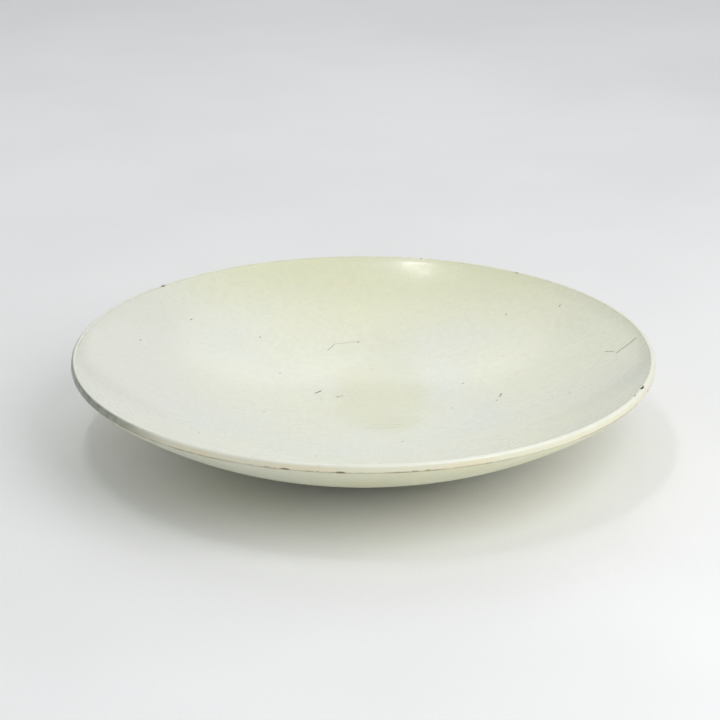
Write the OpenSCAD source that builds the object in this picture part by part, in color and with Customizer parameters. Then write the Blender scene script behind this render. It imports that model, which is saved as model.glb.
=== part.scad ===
// Shallow round dish form: a thin moulded shell standing on a low foot ring, with a thin pale
// coating over the inside, the rim, the outside and the hollow under the floor.
// Millimetres, +Z up. The origin is the centre of the foot ring's face.

/* [Dish] */
// Width of the mouth, where the bowl's inside face meets the rounding of the rim
mouth_d = 296; // [270:2:330]
// Height of the top of the rim above the foot's face
dish_h = 50; // [46:1:56]
// Thickness of the wall, coating included
wall_t = 4.4; // [3.5:0.1:5]

/* [Bowl curve] */
// Slope of the wall at the rim, in degrees from level
rim_slope = 48; // [44:1:52]
// Slope where the wide bowl curve meets the tighter lip curve, in degrees from level
shoulder_slope = 36; // [32:1:40]
// Inside radius of the lip curve
lip_r = 38; // [28:1:60]

/* [Rim] */
// Rounding of the rim's inner edge
crest_r = 1.6; // [1:0.1:2.4]
// Lean of the rim's flat outer band, outwards and down, in degrees from vertical
band_lean = 6; // [0:1:20]
// Rounding of the band's lower edge
arris_r = 0.6; // [0.5:0.1:1]

/* [Foot ring] */
// Outside diameter of the foot's face
foot_d = 118; // [104:2:130]
// Width of the foot's face
foot_w = 5; // [4:0.5:8]
// Height of the hollow inside the foot
foot_hollow = 3; // [2:0.5:4]
// Draft of the foot's two flanks, in degrees from vertical
foot_draft = 12; // [6:1:20]

/* [Coating] */
// Thickness of the coating
coat_t = 0.4; // [0.3:0.05:0.45]

/* [Hidden] */
$fn = 180;
// Straight steps in each curve of the bowl and in each rounding of the rim
bowl_steps = 20;
rim_steps = 6;

mouth_r = mouth_d / 2;
// Height of the inside floor, which is flat as far as the wide curve's centre
floor_z = foot_hollow + wall_t;

crest_centre = [mouth_r + crest_r * sin(rim_slope), dish_h - crest_r];
lip_centre = crest_centre - (crest_r + lip_r) * face_normal(rim_slope);
lip_rise = lip_r * (cos(shoulder_slope) - cos(rim_slope));
mouth_z = crest_centre[1] + crest_r * cos(rim_slope);
// Inside radius of the wide curve that joins the floor to the shoulder
bowl_r = (mouth_z - floor_z - lip_rise) / (1 - cos(shoulder_slope));
bowl_centre = lip_centre - (bowl_r - lip_r) * face_normal(shoulder_slope);

// The band runs down from the crest until its lower rounding touches the outside of the wall
band_turn = 90 + band_lean;
band_dir = face_normal(band_lean);
band_start = crest_centre + (crest_r - arris_r) * face_normal(band_turn) - lip_centre;
band_ahead = band_start * band_dir;
arris_reach = lip_r + wall_t - arris_r;
band_w = sqrt(pow(band_ahead, 2) - band_start * band_start + pow(arris_reach, 2)) - band_ahead;
arris_centre = lip_centre + band_start + band_w * band_dir;
outside_slope = atan2(arris_centre[0] - lip_centre[0], lip_centre[1] - arris_centre[1]);
// The rim coating and the outer coating meet half way round the band's lower edge
arris_split = (band_turn + outside_slope) / 2;

foot_r = foot_d / 2;
// The foot ring runs up into the wall, to just under the inner coating
foot_root_z = floor_z - 2 * coat_t;
foot_flare = foot_root_z * tan(foot_draft);

coat_colour = "#e6e7d6";
body_colour = "#5c554a";

// Direction out of a face that has this slope: 0 faces down, 90 faces out, 180 faces up
function face_normal(slope) = [sin(slope), -cos(slope)];

// Points of an arc between two slopes, without its first point
function arc_points(centre, radius, slope_from, slope_to, steps) =
    [for (i = [1:steps])
        centre + radius * face_normal(slope_from + (slope_to - slope_from) * i / steps)];

// The dish's surface at a depth below its skin, in three runs from the axis to the axis
function inside_run(depth) = concat(
    [[0, floor_z - depth], [bowl_centre[0], floor_z - depth]],
    arc_points(bowl_centre, bowl_r + depth, 0, shoulder_slope, bowl_steps),
    arc_points(lip_centre, lip_r + depth, shoulder_slope, rim_slope, bowl_steps)
);

function rim_run(depth) = concat(
    [crest_centre - (crest_r - depth) * face_normal(rim_slope)],
    arc_points(crest_centre, crest_r - depth, 180 + rim_slope, band_turn, 2 * rim_steps),
    [arris_centre + (arris_r - depth) * face_normal(band_turn)],
    arc_points(arris_centre, arris_r - depth, band_turn, arris_split, rim_steps)
);

function outside_run(depth) = concat(
    [arris_centre + (arris_r - depth) * face_normal(arris_split)],
    arc_points(arris_centre, arris_r - depth, arris_split, outside_slope, rim_steps),
    arc_points(lip_centre, lip_r + wall_t - depth, outside_slope, shoulder_slope, bowl_steps),
    arc_points(bowl_centre, bowl_r + wall_t - depth, shoulder_slope, 0, bowl_steps),
    [[0, floor_z - wall_t + depth]]
);

function without_first(points) = [for (i = [1:len(points) - 1]) points[i]];
function reversed(points) = [for (i = [len(points) - 1:-1:0]) points[i]];

// Section of the body: everything deeper than the coating
module core_section() {
    polygon(concat(
        inside_run(coat_t),
        without_first(rim_run(coat_t)),
        without_first(outside_run(coat_t))
    ));
}

// Section of the coating along one run of the surface
module film_section(skin, underside) {
    polygon(concat(skin, reversed(underside)));
}

// Section of the foot from the axis out to a flank that stands at face_r and leans by flare
module within_flank(face_r, flare) {
    polygon([[0, 0], [face_r, 0], [face_r + flare, foot_root_z], [0, foot_root_z]]);
}

module foot_section() {
    difference() {
        within_flank(foot_r, foot_flare);
        within_flank(foot_r - foot_w, -foot_flare);
    }
}

// Moulded body: floor, bowl wall and foot ring in one piece, bare only on the foot
module body_shell() {
    color(body_colour)
        union() {
            rotate_extrude()
                core_section();
            rotate_extrude()
                foot_section();
        }
}

// Coating of the working face, floor to rim
module inner_coating() {
    color(coat_colour)
        rotate_extrude()
            film_section(inside_run(0), inside_run(coat_t));
}

// Coating of the rim, over its crest and down the band to the lower edge
module rim_coating() {
    color(coat_colour)
        rotate_extrude()
            film_section(rim_run(0), rim_run(coat_t));
}

// Coating of the outside, from the band's lower edge down to the foot ring
module outer_coating() {
    color(coat_colour)
        rotate_extrude()
            difference() {
                film_section(outside_run(0), outside_run(coat_t));
                within_flank(foot_r, foot_flare);
            }
}

// Coating of the hollow inside the foot ring
module base_coating() {
    color(coat_colour)
        rotate_extrude()
            intersection() {
                film_section(outside_run(0), outside_run(coat_t));
                within_flank(foot_r - foot_w, -foot_flare);
            }
}

body_shell();
inner_coating();
rim_coating();
outer_coating();
base_coating();
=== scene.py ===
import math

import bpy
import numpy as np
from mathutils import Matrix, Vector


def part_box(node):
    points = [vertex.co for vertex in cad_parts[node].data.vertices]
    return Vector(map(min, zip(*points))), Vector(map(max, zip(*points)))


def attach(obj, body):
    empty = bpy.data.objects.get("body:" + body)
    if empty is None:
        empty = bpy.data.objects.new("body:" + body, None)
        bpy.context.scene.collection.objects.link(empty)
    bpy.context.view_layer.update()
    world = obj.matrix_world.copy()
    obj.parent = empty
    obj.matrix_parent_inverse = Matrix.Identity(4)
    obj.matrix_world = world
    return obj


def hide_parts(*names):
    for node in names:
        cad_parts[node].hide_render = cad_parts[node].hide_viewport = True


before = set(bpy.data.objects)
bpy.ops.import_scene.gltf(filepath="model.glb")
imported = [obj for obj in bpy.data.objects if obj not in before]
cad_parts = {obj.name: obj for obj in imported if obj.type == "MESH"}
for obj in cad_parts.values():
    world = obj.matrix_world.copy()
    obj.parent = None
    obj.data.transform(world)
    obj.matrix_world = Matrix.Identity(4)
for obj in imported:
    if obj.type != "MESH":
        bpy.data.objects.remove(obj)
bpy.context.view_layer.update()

# The looks of a shallow coated dish, built around the fixed CAD frame. Lengths are in metres.
# The coating is four films on a dark body. The films are turned from one section of the dish, and
# at the two edges of the rim and at the foot they end in worn, chipped borders. The camera stands
# at -Y, so the left is -X and the back is +Y.

# ---------------------------------------------------------------- sizes
MM = 0.001
MOUTH_R = 148 * MM
WALL_T = 4.4 * MM
COAT_T = 0.4 * MM
RIM_SLOPE = math.radians(48)
SHOULDER_SLOPE = math.radians(36)
LIP_R = 38 * MM
CREST_R = 1.6 * MM
BAND_LEAN = math.radians(6)
ARRIS_R = 0.6 * MM
FOOT_R = 59 * MM
FOOT_W = 5 * MM
FOOT_DRAFT = math.radians(12)

# Rounding of the foot's edges
FOOT_FILLET = 1.0 * MM
# Rounding of a film's own border
FILM_EDGE = 0.1 * MM
# About how far each film stands back from the line where it ends, where it isn't chipped
CREST_CRACK = 0.006 * MM
ARRIS_CRACK = 0.02 * MM
FOOT_CRACK = 0.02 * MM
# Points closer than this count as one, and a ring smaller than this is a point on the axis
SAME_PLACE = 1e-6

OUTER_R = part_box("rim_coating")[1].x
DISH_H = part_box("rim_coating")[1].z
FLOOR_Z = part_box("inner_coating")[0].z + COAT_T
UNDER_Z = FLOOR_Z - WALL_T


def slope_normal(slope):
    """Direction through the wall, from the inside face out, as (radius, height)."""
    return np.array([math.sin(slope), -math.cos(slope)])


def polar(direction):
    """Angle of a direction in the (radius, height) half-plane."""
    return math.atan2(direction[1], direction[0])


def unit(angle):
    """Direction at an angle in the (radius, height) half-plane."""
    return np.array([math.cos(angle), math.sin(angle)])


# Centres of the rounding of the rim's crest and of the bowl's two curves
CREST_C = np.array([MOUTH_R + CREST_R * math.sin(RIM_SLOPE), DISH_H - CREST_R])
LIP_C = CREST_C - (CREST_R + LIP_R) * slope_normal(RIM_SLOPE)
LIP_RISE = LIP_R * (math.cos(SHOULDER_SLOPE) - math.cos(RIM_SLOPE))
MOUTH_Z = CREST_C[1] + CREST_R * math.cos(RIM_SLOPE)
BOWL_R = (MOUTH_Z - FLOOR_Z - LIP_RISE) / (1 - math.cos(SHOULDER_SLOPE))
BOWL_C = LIP_C - (BOWL_R - LIP_R) * slope_normal(SHOULDER_SLOPE)


# ---------------------------------------------------------------- section of the dish
# Steps between the section's points: on the wide curves, and on the rim's small ones
COARSE = 0.25 * MM
FINE = 0.02 * MM
FEWEST_POINTS = 4
# Angle on the crest from the end of the inside face to the line where two films part
CREST_SPLIT_TURN = math.radians(16)
FLANK_SAMPLES = 4000


def arc(centre, radius, start, end, step):
    """Points along an arc from one angle to another, about a step apart."""
    count = max(FEWEST_POINTS, int(abs(end - start) * radius / step))
    angles = np.linspace(start, end, count)
    return centre + radius * np.stack([np.cos(angles), np.sin(angles)], 1)


class Section:
    """A line in the (radius, height) half-plane, followed by its arc length."""

    def __init__(self, *runs):
        points = np.concatenate(runs)
        keep = np.append(True, np.linalg.norm(np.diff(points, axis=0), axis=1) > SAME_PLACE)
        self.points = points[keep]
        steps = np.linalg.norm(np.diff(self.points, axis=0), axis=1)
        self.arc = np.append(0.0, np.cumsum(steps))
        tangent = np.gradient(self.points, self.arc, axis=0)
        tangent /= np.linalg.norm(tangent, axis=1)[:, None]
        self.outward = np.stack([-tangent[:, 1], tangent[:, 0]], 1)
        self.length = self.arc[-1]

    def at(self, s, depth):
        """Radius and height at arc length s, sunk by depth below the surface."""
        place = []
        for axis in (0, 1):
            on_line = np.interp(s, self.arc, self.points[:, axis])
            place.append(on_line - depth * np.interp(s, self.arc, self.outward[:, axis]))
        return np.maximum(place[0], 0), place[1]

    def nearest(self, point):
        """Arc length of the line's point nearest to a point."""
        return float(self.arc[np.argmin(np.linalg.norm(self.points - point, axis=1))])


def arris_centre():
    """The band runs down until its lower rounding touches the outside of the wall."""
    start = CREST_C + (CREST_R - ARRIS_R) * unit(BAND_LEAN) - LIP_C
    ahead = float(start @ slope_normal(BAND_LEAN))
    reach = LIP_R + WALL_T - ARRIS_R
    width = math.sqrt(ahead**2 - float(start @ start) + reach**2) - ahead
    return LIP_C + start + width * slope_normal(BAND_LEAN)


ARRIS_C = arris_centre()
ON_AXIS = -math.pi / 2
SHOULDER = polar(slope_normal(SHOULDER_SLOPE))
INSIDE_END = polar(slope_normal(RIM_SLOPE))
OUTSIDE_START = polar(ARRIS_C - LIP_C)
CREST_START = INSIDE_END + math.pi
# The films part on the crest's inner side, and half way round the band's lower edge
CREST_SPLIT = CREST_START - CREST_SPLIT_TURN
ARRIS_SPLIT = (BAND_LEAN + OUTSIDE_START) / 2

DISH = Section(
    np.array([[0, FLOOR_Z]]),
    arc(BOWL_C, BOWL_R, ON_AXIS, SHOULDER, COARSE),
    arc(LIP_C, LIP_R, SHOULDER, INSIDE_END, COARSE),
    arc(CREST_C, CREST_R, CREST_START, BAND_LEAN, FINE),
    arc(ARRIS_C, ARRIS_R, BAND_LEAN, OUTSIDE_START, FINE),
    arc(LIP_C, LIP_R + WALL_T, OUTSIDE_START, SHOULDER, COARSE),
    arc(BOWL_C, BOWL_R + WALL_T, SHOULDER, ON_AXIS, COARSE),
    np.array([[0, UNDER_Z]]),
)
S_CREST = DISH.nearest(CREST_C + CREST_R * unit(CREST_SPLIT))
S_ARRIS = DISH.nearest(ARRIS_C + ARRIS_R * unit(ARRIS_SPLIT))


def flank_crossing(face_r, flare, depth):
    """Arc length where the underside, at a depth, meets a flank of the foot."""
    s = np.linspace(S_ARRIS, DISH.length, FLANK_SAMPLES)
    radius, height = DISH.at(s, depth)
    return float(s[np.argmin(np.abs(radius - face_r - flare * height))])


FLARE = math.tan(FOOT_DRAFT)
S_FOOT_OUT = flank_crossing(FOOT_R, FLARE, 0)
S_FOOT_IN = flank_crossing(FOOT_R - FOOT_W, -FLARE, 0)

# ---------------------------------------------------------------- wear
# Chips are (degrees from +X towards +Y, length along the edge in mm, reach across it in mm)
CREST_CHIPS = [
    (-21.5, 5.6, 2.2), (-26, 3.2, 1.2), (-30.5, 2.6, 0.5), (-94.3, 1.0, 0.35), (-127, 1.4, 0.3),
    (139, 3.4, 0.8), (54, 1.8, 0.6), (77, 1.4, 0.5), (-72, 1.0, 0.2), (172, 1.5, 0.3),
]
ARRIS_CHIPS = [
    (-103.8, 5.2, 0.55), (-107.3, 2.6, 0.3), (-97.9, 1.8, 0.35), (-94, 4.8, 0.55), (-81, 3.0, 0.4),
    (-78.7, 2.4, 0.4), (-56, 1.2, 0.35), (-136.5, 1.4, 0.3), (-20, 2.2, 0.4),
    (28, 3.4, 0.5), (66, 1.6, 0.3), (104, 4.2, 0.55), (148, 2.4, 0.4), (-164, 1.8, 0.35),
]
FOOT_CHIPS = [(-70, 4, 0.8), (15, 6, 1.0), (131, 3, 0.7), (-155, 5, 0.9)]

# Waves in the noise round the dish, and what their sum is divided by
NOISE_WAVES = 12
NOISE_SPREAD = 4
# Cracks: lowest and highest count of waves per turn, share they vary by, and least share left
CRACK_WAVES = (20, 160)
CRACK_UNEVEN = 0.5
CRACK_LEAST = 0.3
# Chips: the same counts for their ragged outline, and the share it varies by
CHIP_WAVES = (400, 1500)
CHIP_RAGGED = 0.3
# Even columns round the dish
FILM_COLUMNS = 540
BASE_COLUMNS = 360
BODY_COLUMNS = 360
# Extra columns stand this close together at a chip, and go on this far past its ends
CHIP_STEP = 0.3 * MM
CHIP_MARGIN = 0.6 * MM


def round_noise(theta, lowest, highest, seed):
    """Smooth noise round the dish, mostly -1 to 1, with waves between two counts per turn."""
    rng = np.random.default_rng(seed)
    total = np.zeros_like(theta)
    for _ in range(NOISE_WAVES):
        count = rng.integers(lowest, highest)
        total += np.sin(count * theta + rng.uniform(0, math.tau))
    return total / NOISE_SPREAD


def setback(theta, radius, crack, chips, share, seed):
    """How far a film's border stands back at each angle: by the crack, or by its share of a
    chip where there is one."""
    back = crack * (1 + CRACK_UNEVEN * round_noise(theta, *CRACK_WAVES, seed))
    back = np.maximum(back, CRACK_LEAST * crack)
    ragged = 1 + CHIP_RAGGED * round_noise(theta, *CHIP_WAVES, seed + 1)
    for azimuth, length, reach in chips:
        along = (theta - math.radians(azimuth) + math.pi) % math.tau - math.pi
        inside = np.clip(1 - (along * radius / (length * MM / 2)) ** 2, 0, 1)
        back = np.maximum(back, share * reach * MM * np.sqrt(inside) * ragged)
    return back


def columns(chips, radius, even=FILM_COLUMNS):
    """Angles of a film's columns: even round the dish, and close together at the chips."""
    angles = [np.linspace(0, math.tau, even, endpoint=False)]
    for azimuth, length, _ in chips:
        half = (length * MM / 2 + CHIP_MARGIN) / radius
        count = int(2 * half * radius / CHIP_STEP) + 2
        angles.append(math.radians(azimuth) + np.linspace(-half, half, count))
    angles = np.sort(np.concatenate(angles) % math.tau)
    gaps = np.diff(angles, prepend=angles[-1] - math.tau)
    return angles[gaps * radius > CHIP_STEP / 3]


# ---------------------------------------------------------------- meshes
# Edges that bend by more than this are shaded sharp
SHARP_BEND = math.radians(50)
# Rings over a film's rounded border, as shares of its rounding, then steps that grow inwards
ROUNDING_SHARES = (0, 0.3, 0.65, 1)
FIRST_STEP = 0.08 * MM
STEP_GROWTH = 1.3
# About the longest steps across the wide films, and across the narrow one of the rim
FILM_STEP = 2.6 * MM
RIM_FILM_STEP = 0.3 * MM
# Decimals, in metres, that a ring's distance is rounded to
RING_DIGITS = 8
# How far from its border a film is drawn back with it, and how far its wear carries in
WEAR_REACH = 5 * MM
WEAR_FADE = 0.5 * MM
UNDERSIDE_RINGS = 24
FOOT_ROUND_POINTS = 9
# Rings of the body. Those of the rim reach this far past the two lines where films part
RIM_MARGIN = 2 * MM
INSIDE_RINGS = 70
RIM_RINGS = 90
OUTSIDE_RINGS = 48
HOLLOW_RINGS = 24


def turned(name, rings, theta, wear=None):
    """A closed surface from rings of (radius, height), each one number or a value per column.
    wear is the edge_wear of each ring."""
    count = len(theta)
    verts, faces, starts, worn = [], [], [], []
    for j, (radius, height) in enumerate(rings):
        radius, height = np.broadcast_to(radius, count), np.broadcast_to(height, count)
        starts.append((len(verts), radius.max() > SAME_PLACE))
        ring = np.stack([radius * np.cos(theta), radius * np.sin(theta), height], 1)
        ring = ring if starts[-1][1] else ring[:1]
        verts.extend(ring.tolist())
        worn.extend([0.0 if wear is None else float(wear[j])] * len(ring))
    for (a, a_round), (b, b_round) in zip(starts, starts[1:] + starts[:1]):
        for i in range(count):
            following = (i + 1) % count
            if a_round and b_round:
                faces.append((a + i, a + following, b + following, b + i))
            elif a_round:
                faces.append((a + i, a + following, b))
            elif b_round:
                faces.append((a, b + following, b + i))
    mesh = bpy.data.meshes.new(name)
    mesh.from_pydata(verts, [], faces)
    mesh.validate()
    mesh.polygons.foreach_set("use_smooth", [True] * len(mesh.polygons))
    mesh.set_sharp_from_angle(angle=SHARP_BEND)
    layer = mesh.attributes.new("edge_wear", "FLOAT", "POINT")
    layer.data.foreach_set("value", worn)
    piece = bpy.data.objects.new(name, mesh)
    bpy.context.scene.collection.objects.link(piece)
    return piece


def border_steps(coarse, limit):
    """Distances in from a film's border: over its rounding, then in steps that grow."""
    distances = [share * FILM_EDGE for share in ROUNDING_SHARES]
    size = FIRST_STEP
    while size < coarse and distances[-1] + size < limit:
        distances.append(distances[-1] + size)
        size *= STEP_GROWTH
    return distances


def graded(length, coarse, fine_start, fine_stop):
    """Distances from 0 to length, close together at the ends that are borders."""
    low = border_steps(coarse, length / 2) if fine_start else []
    high = [length - d for d in border_steps(coarse, length / 2)][::-1] if fine_stop else []
    start = low[-1] if low else 0.0
    stop = high[0] if high else length
    middle = np.linspace(start, stop, max(2, int((stop - start) / coarse)) + 1)
    return np.unique(np.round(np.concatenate([low, middle, high]), RING_DIGITS))


def film(name, start, stop, theta, back_start=None, back_stop=None, coarse=FILM_STEP):
    """One film of the coating, from arc length start to stop. An end with no setback is on the
    axis. The others have a rounded border that stands back by the setback at each angle."""
    length = stop - start
    reach = min(WEAR_REACH, length / 2)
    top, under, wear = [], [], []
    distances = graded(length, coarse, back_start is not None, back_stop is not None)

    def place(d):
        """Arc lengths of the ring at distance d, and how near it is to a border."""
        s, near = start + d, length
        for back, gap, sign in ((back_start, d, 1), (back_stop, length - d, -1)):
            if back is not None:
                ease = np.clip(1 - gap / reach, 0, 1)
                s = s + sign * back * ease**2 * (3 - 2 * ease)
                near = max(min(near, gap), 0)
        return s, near

    for d in distances:
        s, near = place(d)
        lift = max(FILM_EDGE - near, 0)
        sunk = FILM_EDGE - math.sqrt(FILM_EDGE**2 - lift**2)
        top.append(DISH.at(s, sunk))
        wear.append(math.exp(-near / WEAR_FADE))
    below = distances[:: max(1, len(distances) // UNDERSIDE_RINGS)]
    below = np.unique(np.append(below, distances[-1]))[::-1]
    for d in below:
        s, near = place(d)
        under.append(DISH.at(s, COAT_T))
        wear.append(1.0)
    return turned(name, top + under, theta, wear)


def make_films():
    """The four films. Where two of them meet, each is set back by its own share of a chip."""
    inner_theta = columns(CREST_CHIPS, MOUTH_R)
    rim_theta = columns(CREST_CHIPS + ARRIS_CHIPS, OUTER_R)
    outer_theta = columns(ARRIS_CHIPS, OUTER_R)
    base_theta = columns([], FOOT_R, even=BASE_COLUMNS)
    foot_out = setback(outer_theta, FOOT_R, FOOT_CRACK, FOOT_CHIPS, share=1, seed=41)
    inner = film(
        "inner_coat", 0, S_CREST, inner_theta,
        back_stop=setback(inner_theta, MOUTH_R, CREST_CRACK, CREST_CHIPS, share=0.5, seed=11),
    )
    rim = film(
        "rim_coat", S_CREST, S_ARRIS, rim_theta, coarse=RIM_FILM_STEP,
        back_start=setback(rim_theta, MOUTH_R, CREST_CRACK, CREST_CHIPS, share=0.8, seed=13),
        back_stop=setback(rim_theta, OUTER_R, ARRIS_CRACK, ARRIS_CHIPS, share=0.9, seed=17),
    )
    outer = film(
        "outer_coat", S_ARRIS, S_FOOT_OUT, outer_theta,
        back_start=setback(outer_theta, OUTER_R, ARRIS_CRACK, ARRIS_CHIPS, share=0.6, seed=19),
        back_stop=foot_out,
    )
    base = film(
        "base_coat", S_FOOT_IN, DISH.length, base_theta,
        back_start=setback(base_theta, FOOT_R - FOOT_W, FOOT_CRACK, FOOT_CHIPS, share=0.7, seed=43),
    )
    return inner, rim, outer, base


def foot_rings():
    """The foot's section, from its outer flank over its resting face to its inner flank."""
    rings = []
    half_turn = (math.pi / 2 - FOOT_DRAFT) / 2
    side = FOOT_FILLET * math.tan(half_turn)
    turns = np.linspace(FOOT_DRAFT, math.pi / 2, FOOT_ROUND_POINTS)
    for face_r, sign, sweep in ((FOOT_R, 1, turns), (FOOT_R - FOOT_W, -1, turns[::-1])):
        centre_r = face_r - sign * side
        for turn in sweep:
            radius = centre_r + sign * FOOT_FILLET * math.cos(turn)
            rings.append((radius, FOOT_FILLET * (1 - math.sin(turn))))
    return rings


def make_body():
    """The bare body under the films: the wall less its coating, and the foot ring."""
    s_out = flank_crossing(FOOT_R, FLARE, COAT_T)
    s_in = flank_crossing(FOOT_R - FOOT_W, -FLARE, COAT_T)
    rim_start = S_CREST - RIM_MARGIN
    rim_stop = S_ARRIS + RIM_MARGIN
    inside = np.linspace(0, rim_start, INSIDE_RINGS)
    rim = np.linspace(rim_start, rim_stop, RIM_RINGS)[1:]
    outside = np.linspace(rim_stop, s_out, OUTSIDE_RINGS)[1:]
    hollow = np.linspace(s_in, DISH.length, HOLLOW_RINGS)
    rings = [DISH.at(s, COAT_T) for s in np.concatenate([inside, rim, outside])]
    rings += foot_rings()
    rings += [DISH.at(s, COAT_T) for s in hollow]
    theta = np.linspace(0, math.tau, BODY_COLUMNS, endpoint=False)
    return turned("body", rings, theta)


# ---------------------------------------------------------------- materials
# Distances from a mark's line where it starts and ends its fade, as shares of its width
MARK_CORE = 0.25
MARK_END = 0.6


def srgb(red, green, blue):
    """A colour given from 0 to 255 as the screen shows it."""
    def linear(value):
        value /= 255
        return value / 12.92 if value <= 0.04045 else ((value + 0.055) / 1.055) ** 2.4
    return (linear(red), linear(green), linear(blue), 1.0)


class Nodes:
    """The nodes of one material, with a Principled shader at their end."""

    def __init__(self, name):
        self.material = bpy.data.materials.new(name)
        self.material.use_nodes = True
        self.tree = self.material.node_tree
        self.tree.nodes.clear()
        self.shader = self.node("ShaderNodeBsdfPrincipled")
        out = self.node("ShaderNodeOutputMaterial")
        self.tree.links.new(self.shader.outputs[0], out.inputs["Surface"])
        self.place = self.node("ShaderNodeTexCoord").outputs["Object"]

    def node(self, kind, **settings):
        """A new node, with its settings such as its operation."""
        made = self.tree.nodes.new(kind)
        for name, value in settings.items():
            setattr(made, name, value)
        return made

    def put(self, socket, value):
        """Link a socket to another's output, or set it to a number or a colour."""
        if isinstance(value, bpy.types.NodeSocket):
            self.tree.links.new(value, socket)
        else:
            socket.default_value = value

    def fill(self, made, *values):
        """Put values into a node's first inputs, in their order."""
        for socket, value in zip(made.inputs, values):
            self.put(socket, value)

    def math(self, operation, *values):
        made = self.node("ShaderNodeMath", operation=operation)
        self.fill(made, *values)
        return made.outputs[0]

    def product(self, first, *others):
        for other in others:
            first = self.math("MULTIPLY", first, other)
        return first

    def vector(self, operation, *values):
        made = self.node("ShaderNodeVectorMath", operation=operation)
        self.fill(made, *values)
        return made.outputs["Value" if operation in ("LENGTH", "DOT_PRODUCT") else 0]

    def scaled(self, vector, factor):
        made = self.node("ShaderNodeVectorMath", operation="SCALE")
        self.put(made.inputs[0], vector)
        self.put(made.inputs["Scale"], factor)
        return made.outputs[0]

    def flat(self):
        """Place on the dish with its height left out."""
        return self.vector("MULTIPLY", self.place, (1, 1, 0))

    def along(self, x, y):
        """How far a place lies along a level direction."""
        return self.vector("DOT_PRODUCT", self.place, (x, y, 0))

    def height(self):
        """Height of a place above the table."""
        split = self.node("ShaderNodeSeparateXYZ")
        self.put(split.inputs[0], self.place)
        return split.outputs["Z"]

    def noise(self, size, detail=3.0, roughness=0.5, shift=0.0):
        """Noise from 0 to 1 whose features are about size across. shift moves it diagonally."""
        made = self.node("ShaderNodeTexNoise")
        self.put(made.inputs["Vector"], self.vector("ADD", self.place, (shift, shift, shift)))
        self.put(made.inputs["Scale"], 1 / size)
        self.put(made.inputs["Detail"], detail)
        self.put(made.inputs["Roughness"], roughness)
        return made.outputs["Fac"]

    def fade(self, value, low, high, to_low=0.0, to_high=1.0):
        """A smooth step of value, from to_low at low to to_high at high."""
        made = self.node("ShaderNodeMapRange", interpolation_type="SMOOTHSTEP")
        self.fill(made, value, low, high, to_low, to_high)
        return made.outputs[0]

    def mix(self, factor, first, second):
        """A colour from first, where factor is 0, to second, where it is 1."""
        made = self.node("ShaderNodeMix", data_type="RGBA")
        colours = [socket for socket in made.inputs if socket.type == "RGBA"]
        self.put(made.inputs[0], factor)
        self.put(colours[0], first)
        self.put(colours[1], second)
        return [socket for socket in made.outputs if socket.type == "RGBA"][0]

    def bump(self, height, distance, strength=1.0, under=None):
        """A normal from a height, laid over the normal under it."""
        made = self.node("ShaderNodeBump")
        self.put(made.inputs["Height"], height)
        self.put(made.inputs["Distance"], distance)
        self.put(made.inputs["Strength"], strength)
        if under:
            self.put(made.inputs["Normal"], under)
        return made.outputs[0]

    def attribute(self, name):
        return self.node("ShaderNodeAttribute", attribute_name=name).outputs["Fac"]

    def mark(self, flat, start, end, width):
        """1 inside a straight mark between two places on the dish, in mm, and 0 outside it."""
        first = Vector((*start, 0)) * MM
        span = Vector((*end, 0)) * MM - first
        off = self.vector("SUBTRACT", flat, first[:])
        share = self.math("DIVIDE", self.vector("DOT_PRODUCT", off, span[:]), span.length_squared)
        share = self.math("MINIMUM", self.math("MAXIMUM", share, 0.0), 1.0)
        off = self.vector("LENGTH", self.vector("SUBTRACT", off, self.scaled(span[:], share)))
        return self.fade(off, MARK_CORE * width * MM, MARK_END * width * MM, 1.0, 0.0)

    def marks(self, flat, places):
        """1 inside any of the marks, and 0 outside them."""
        total = 0.0
        for start, end, width in places:
            total = self.math("MAXIMUM", total, self.mark(flat, start, end, width))
        return total

    def finish(self, colour, roughness, normal, coat=0.0, coat_roughness=0.2):
        self.put(self.shader.inputs["Base Color"], colour)
        self.put(self.shader.inputs["Roughness"], roughness)
        self.put(self.shader.inputs["Normal"], normal)
        self.shader.inputs["Coat Weight"].default_value = coat
        self.shader.inputs["Coat Roughness"].default_value = coat_roughness
        return self.material


# Lines on the inside are (start, end, width), and specks are places, in mm from the dish's axis
SCRATCHES = [
    ((134, 20), (144, 22), 0.75), ((129, 28), (133, 23), 0.35), ((73, 23), (74, 26), 0.7),
    ((-26, 40), (-23, 43), 0.9), ((-15, 36), (-11, 38), 0.4), ((-20, 84), (-16, 90), 0.3),
    ((-16, 90), (-3, 93), 0.15),
]
STAIN_LINES = [((0, -5), (9, -6.4), 1.0), ((9, -6.4), (18, -5), 1.0), ((5, -2), (21, -1.5), 0.8)]
SPECKS = [
    (54, 45), (47, 18), (71, 19), (108, 1), (80, 96), (109, 86), (-96, 84), (-121, 48), (-58, 87),
    (-53, 12), (-3, 92), (-14, 36), (20, -24), (-24, -46), (-46, 58), (20, -60), (-84, -38),
    (62, -72),
]
# A speck is a short mark: its reach along X and along Y, and its width, in mm
SPECK_REACH = 0.5
SPECK_WIDTH = 0.9

CREAM = srgb(237, 237, 216)
COOL_CREAM = srgb(230, 233, 223)
GREYED = srgb(224, 225, 219)
YELLOW_CREAM = srgb(229, 229, 190)
# Yellow of a painted warm reflection in the bowl
WARM_REFLECTION_YELLOW = srgb(220, 220, 182)
BAND_CREAM = srgb(231, 228, 204)
PEACH = srgb(234, 221, 188)
CREST_CREAM = srgb(235, 236, 222)
MOTTLE = srgb(219, 220, 201)
GRIME = srgb(146, 126, 90)
# Grey of painted shade towards -X, on the rim and on the outside
PAINTED_SHADE_GREY = srgb(126, 132, 122)
MARK = srgb(88, 82, 66)
DARK_GRIT = srgb(62, 55, 46)
PALE_GRIT = srgb(108, 98, 84)
RUBBED_FOOT = srgb(158, 148, 130)
DULL_FLOOR = srgb(240, 240, 240)
BRIGHT_FLOOR = srgb(246, 246, 246)


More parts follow.
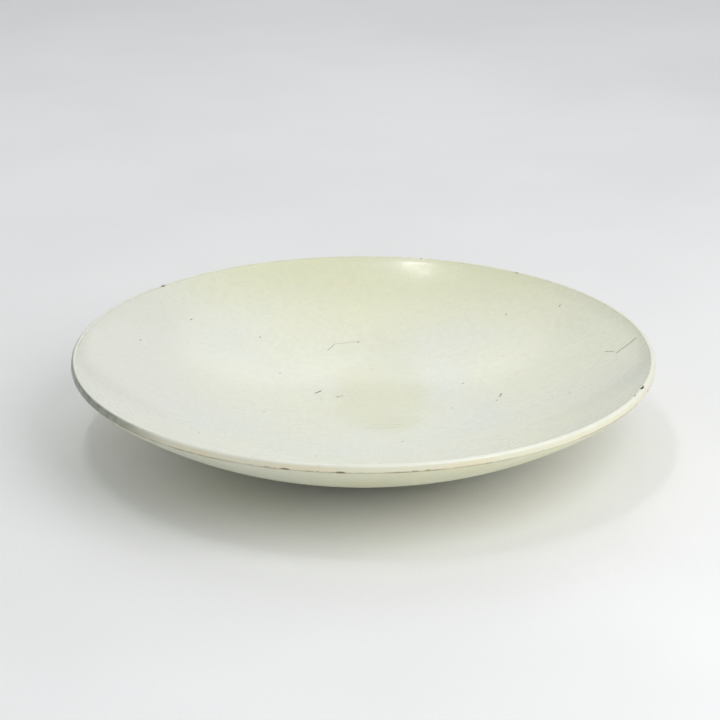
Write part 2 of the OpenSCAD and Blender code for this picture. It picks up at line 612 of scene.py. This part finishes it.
def coat_surface(nodes, peel=1.0):
    """The normal of a brushed or sprayed coat: soft orange peel over slow waves."""
    waves = nodes.noise(22 * MM, detail=2.0, roughness=0.4, shift=3.1)
    grain = nodes.noise(1.6 * MM, detail=2.0, shift=7.7)
    normal = nodes.bump(waves, 0.2 * MM, 0.5 * peel)
    return nodes.bump(grain, 0.02 * MM, 0.4 * peel, normal)


def edge_grime(nodes, colour, amount):
    """Grime in and beside a film's border, patchy along it."""
    patches = nodes.noise(9 * MM, detail=4.0, roughness=0.65, shift=5.5)
    patchy = nodes.fade(patches, 0.35, 0.7, to_low=0.25)
    near = nodes.fade(nodes.attribute("edge_wear"), 0.15, 0.9)
    return nodes.mix(nodes.product(near, patchy, amount), colour, GRIME)


def mottled(nodes, colour, size, amount, shift):
    """Fine uneven tone of an old coat, and faint specks of dust in it."""
    tone = nodes.fade(nodes.noise(size, roughness=0.6, shift=shift), 0.3, 0.75)
    colour = nodes.mix(nodes.product(tone, amount), colour, MOTTLE)
    dust = nodes.fade(nodes.noise(1.8 * MM, detail=1.0, shift=shift + 1), 0.71, 0.8)
    return nodes.mix(nodes.product(dust, 0.25), colour, GRIME)


def oval(nodes, flat, centre, reach):
    """Distance from an oval's centre, about 1 on the oval. The centre and reach are in mm."""
    off = nodes.vector("SUBTRACT", flat, (centre[0] * MM, centre[1] * MM, 0))
    off = nodes.vector("DIVIDE", off, (reach[0] * MM, reach[1] * MM, 1))
    wobble = nodes.noise(18 * MM, detail=4.0, roughness=0.6, shift=2.2)
    wobble = nodes.fade(wobble, 0.2, 0.8, to_low=-0.3, to_high=0.3)
    return nodes.math("ADD", nodes.vector("LENGTH", off), wobble)


def inside_tone(nodes):
    """Cream with cooler clouds, greyer on the left and yellower on the back wall."""
    clouds = nodes.fade(nodes.noise(90 * MM, shift=1.7), 0.35, 0.68)
    colour = nodes.mix(clouds, CREAM, COOL_CREAM)
    left = nodes.fade(nodes.along(-1, -0.2), 20 * MM, 120 * MM, to_high=0.75)
    colour = nodes.mix(left, colour, GREYED)
    back = nodes.fade(nodes.along(0.1, 1), 75 * MM, 140 * MM)
    patchy = nodes.fade(nodes.noise(60 * MM, roughness=0.6, shift=9.3), 0.3, 0.6, to_low=0.45)
    return nodes.mix(nodes.product(back, patchy, 0.75), colour, YELLOW_CREAM)


def painted_reflection(nodes, flat, colour):
    """A faint yellow painted reflection that runs back from the centre, and is strongest at its
    front.
    """
    wide = nodes.fade(oval(nodes, flat, (11, 40), (26, 50)), 0.6, 1.3, to_low=0.38, to_high=0.0)
    core = nodes.fade(oval(nodes, flat, (14, 5), (18, 17)), 0.3, 1.4, to_low=0.5, to_high=0.0)
    return nodes.mix(nodes.math("MAXIMUM", wide, core), colour, WARM_REFLECTION_YELLOW)


def inside_material():
    nodes = Nodes("inside_coat")
    flat = nodes.flat()
    # Painted reflection: a faint yellow streak runs back from the centre.
    colour = painted_reflection(nodes, flat, inside_tone(nodes))
    colour = mottled(nodes, colour, 3.5 * MM, 0.35, 4.4)
    stain_lines = nodes.product(nodes.marks(flat, STAIN_LINES), 0.16)
    colour = nodes.mix(stain_lines, colour, GRIME)
    scratches = nodes.marks(flat, SCRATCHES)
    speck_marks = [((x, y), (x + SPECK_REACH, y + SPECK_REACH), SPECK_WIDTH) for x, y in SPECKS]
    specks = nodes.marks(flat, speck_marks)
    colour = nodes.mix(nodes.product(scratches, 0.85), colour, MARK)
    colour = nodes.mix(nodes.product(specks, 0.6), colour, MARK)
    colour = edge_grime(nodes, colour, 0.25)
    scuffs = nodes.fade(nodes.noise(35 * MM, detail=4.0, roughness=0.7, shift=6.6), 0.4, 0.7)
    roughness = nodes.fade(scuffs, 0.0, 1.0, to_low=0.22, to_high=0.32)
    roughness = nodes.math("MAXIMUM", roughness, nodes.product(scratches, 0.7))
    normal = nodes.bump(scratches, -0.12 * MM, under=coat_surface(nodes, peel=0.2))
    return nodes.finish(colour, roughness, normal, coat=0.4, coat_roughness=0.14)


def rim_material():
    """The band is yellower than the crest, with warm patches. Towards -X its outer edge is painted
    grey, which is painted shade.
    """
    nodes = Nodes("rim_coat")
    colour = mottled(nodes, CREST_CREAM, 4 * MM, 0.3, 8.1)
    low = nodes.fade(nodes.height(), DISH_H - 1.6 * MM, DISH_H - 0.5 * MM, to_low=1.0, to_high=0.0)
    warm = nodes.fade(nodes.noise(24 * MM, shift=8.1), 0.45, 0.7, to_high=0.55)
    colour = nodes.mix(low, colour, nodes.mix(warm, BAND_CREAM, PEACH))
    radius = nodes.vector("LENGTH", nodes.flat())
    outer = nodes.fade(radius, OUTER_R - 1.5 * MM, OUTER_R - 0.5 * MM)
    # Painted shade: the outer 1.5 mm of the band turns grey in streaks towards -X.
    left = nodes.fade(nodes.along(-0.95, -0.3), 120 * MM, 149 * MM)
    streaks = nodes.noise(9 * MM, detail=4.0, roughness=0.7, shift=3.3)
    streaks = nodes.fade(streaks, 0.3, 0.6, to_low=0.65)
    colour = nodes.mix(nodes.product(left, outer, streaks), colour, PAINTED_SHADE_GREY)
    colour = edge_grime(nodes, colour, nodes.fade(low, 0.0, 1.0, to_low=0.25, to_high=0.95))
    scuffs = nodes.noise(12 * MM, detail=4.0, roughness=0.7, shift=1.2)
    roughness = nodes.fade(scuffs, 0.35, 0.7, to_low=0.28, to_high=0.45)
    return nodes.finish(colour, roughness, coat_surface(nodes, peel=0.8))


def outside_material(name, shift):
    """Cream with yellower clouds, and a little grey on its -X side, which is painted shade."""
    nodes = Nodes(name)
    clouds = nodes.fade(nodes.noise(70 * MM, shift=shift), 0.35, 0.7)
    colour = nodes.mix(clouds, CREAM, YELLOW_CREAM)
    # Painted shade: a fifth of the way to grey towards -X.
    left = nodes.fade(nodes.along(-0.9, -0.4), 40 * MM, 140 * MM)
    colour = nodes.mix(nodes.product(left, 0.2), colour, PAINTED_SHADE_GREY)
    colour = mottled(nodes, colour, 4 * MM, 0.35, shift + 1)
    colour = edge_grime(nodes, colour, 0.8)
    scuffs = nodes.noise(30 * MM, detail=4.0, roughness=0.7, shift=shift + 2)
    roughness = nodes.fade(scuffs, 0.35, 0.7, to_low=0.32, to_high=0.45)
    return nodes.finish(colour, roughness, coat_surface(nodes))


def body_material():
    """Moulded body: fine dark grit, rubbed paler on the foot's face."""
    nodes = Nodes("moulded_body")
    grit = nodes.noise(0.8 * MM, roughness=0.7, shift=1.0)
    colour = nodes.mix(nodes.fade(grit, 0.35, 0.7), DARK_GRIT, PALE_GRIT)
    low = nodes.fade(nodes.height(), 0.1 * MM, 1.2 * MM, to_low=1.0, to_high=0.0)
    patchy = nodes.fade(nodes.noise(3 * MM, detail=4.0, roughness=0.7, shift=4.0), 0.3, 0.65)
    rubbed = nodes.product(low, patchy, 0.8)
    colour = nodes.mix(rubbed, colour, RUBBED_FOOT)
    roughness = nodes.fade(rubbed, 0.0, 1.0, to_low=0.85, to_high=0.6)
    return nodes.finish(colour, roughness, nodes.bump(grit, 0.15 * MM, 0.8))


def floor_material():
    nodes = Nodes("pale_floor")
    tone = nodes.fade(nodes.noise(250 * MM, shift=0.3), 0.3, 0.7)
    colour = nodes.mix(tone, DULL_FLOOR, BRIGHT_FLOOR)
    grain = nodes.noise(1.5 * MM, roughness=0.6, shift=0.9)
    return nodes.finish(colour, 0.8, nodes.bump(grain, 0.3 * MM, 0.4))


# ---------------------------------------------------------------- pieces
def dress(piece, material, node):
    """Give a piece its material and its slot, and put it in the place of its CAD node."""
    piece.data.materials.append(material)
    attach(piece, "root")
    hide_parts(node)


inner_coat, rim_coat, outer_coat, base_coat = make_films()
body = make_body()
dress(inner_coat, inside_material(), "inner_coating")
dress(rim_coat, rim_material(), "rim_coating")
dress(outer_coat, outside_material("outside_coat", 11.0), "outer_coating")
dress(base_coat, outside_material("base_coat", 17.0), "base_coating")
dress(body, body_material(), "body_shell")


# ---------------------------------------------------------------- stage, light and camera
# Half the floor's width, and the even light from all round
FLOOR_HALF = 4.0
SKY_COLOUR = (0.96, 0.985, 1.0, 1)
SKY_STRENGTH = 0.485
# The camera: height over the rim in degrees, distance, and lens and sensor in mm
CAMERA_ELEVATION = 21.0
CAMERA_DISTANCE = 8 * MOUTH_R
LENS = 113.9
SENSOR = 36
# Its aim lies below the rim's centre in the picture, and to the left of it, in mm
AIM_BELOW = 6.3
AIM_LEFT = 1.7


def towards(azimuth, elevation):
    """Direction from the dish, with the azimuth counted from +X towards +Y."""
    a = math.radians(azimuth)
    e = math.radians(elevation)
    return Vector((math.cos(a) * math.cos(e), math.sin(a) * math.cos(e), math.sin(e)))


def make_floor():
    half = FLOOR_HALF
    mesh = bpy.data.meshes.new("floor")
    corners = [(-half, -half, 0), (half, -half, 0), (half, half, 0), (-half, half, 0)]
    mesh.from_pydata(corners, [], [(0, 1, 2, 3)])
    mesh.materials.append(floor_material())
    floor = bpy.data.objects.new("floor", mesh)
    bpy.context.scene.collection.objects.link(floor)


def area_light(name, azimuth, elevation, distance, size, power):
    """An oval lamp aimed at the origin. Its distance and size are in metres, its power in watts."""
    lamp = bpy.data.lights.new(name, "AREA")
    lamp.shape = "ELLIPSE"
    lamp.energy = power
    lamp.size, lamp.size_y = size
    lamp_object = bpy.data.objects.new(name, lamp)
    lamp_object.location = towards(azimuth, elevation) * distance
    lamp_object.rotation_euler = towards(azimuth, elevation).to_track_quat("Z", "Y").to_euler()
    bpy.context.scene.collection.objects.link(lamp_object)


def make_light():
    area_light("window", -40, 42, distance=1.0, size=(0.9, 0.9), power=4.9)
    area_light("room", 90, 55, distance=1.0, size=(0.7, 0.7), power=0.9)
    area_light("back_wall", 90, 30, distance=1.4, size=(1.6, 0.9), power=1.2)
    area_light("ceiling_lamp", -144, 75, distance=1.6, size=(0.15, 0.15), power=1.2)
    area_light("ceiling_strip", 180, 80, distance=1.6, size=(0.45, 0.1), power=1.15)
    world = bpy.data.worlds.new("studio")
    world.use_nodes = True
    background = world.node_tree.nodes["Background"]
    background.inputs["Color"].default_value = SKY_COLOUR
    background.inputs["Strength"].default_value = SKY_STRENGTH
    scene = bpy.context.scene
    scene.world = world
    scene.view_settings.view_transform = "Standard"


def make_camera():
    rim_centre = Vector((0, 0, DISH_H))
    place = rim_centre + towards(-90, CAMERA_ELEVATION) * CAMERA_DISTANCE
    picture_up = towards(90, 90 - CAMERA_ELEVATION)
    aim = rim_centre - picture_up * AIM_BELOW * MM - Vector((AIM_LEFT * MM, 0, 0))
    data = bpy.data.cameras.new("camera")
    data.sensor_width = SENSOR
    data.lens = LENS
    data.clip_start = 0.05
    data.clip_end = 30
    camera = bpy.data.objects.new("camera", data)
    camera.location = place
    camera.rotation_euler = (place - aim).to_track_quat("Z", "Y").to_euler()
    bpy.context.scene.collection.objects.link(camera)
    bpy.context.scene.camera = camera


make_floor()
make_light()
make_camera()
